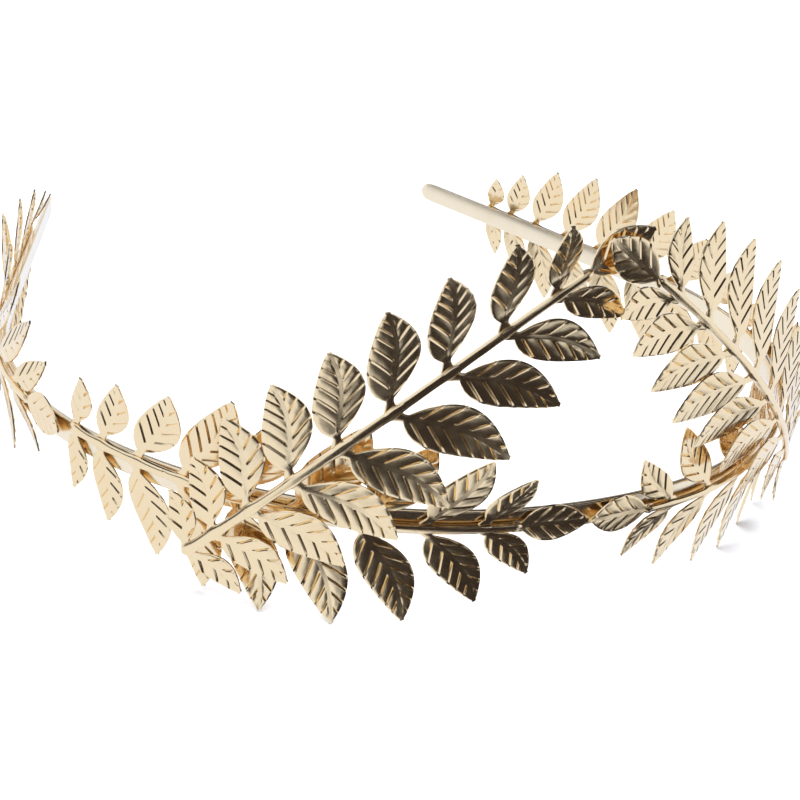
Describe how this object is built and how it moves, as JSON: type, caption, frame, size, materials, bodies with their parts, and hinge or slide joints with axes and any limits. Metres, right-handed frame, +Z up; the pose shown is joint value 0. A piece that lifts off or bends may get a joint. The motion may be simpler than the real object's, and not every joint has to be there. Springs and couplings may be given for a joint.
{
  "type": "leaf crown headband",
  "caption": "Open gold leaf crown: a flat band bent to a U carries pressed leaf sprays, and a spray from each side crosses over and rises to a peak at the front.",
  "frame": {"origin": "middle of the crown's box at the surface that it stands on, with the lowest leaf tips at z = 0", "axes": "+Z up, the front and its peak towards -Y, the open back towards +Y, +X to the right of someone who looks along +Y"},
  "size_m": [0.1456, 0.144, 0.0636],
  "materials": {
    "band_gold": "satin pale gold plating",
    "leaf_gold": "polished pale gold plating"
  },
  "bodies": {
    "root": {"headband": "band_gold", "left_rear_spray": "leaf_gold", "right_rear_spray": "leaf_gold", "left_front_spray": "leaf_gold", "right_front_spray": "leaf_gold", "left_rising_spray": "leaf_gold", "right_rising_spray": "leaf_gold"}
  },
  "joints": []
}
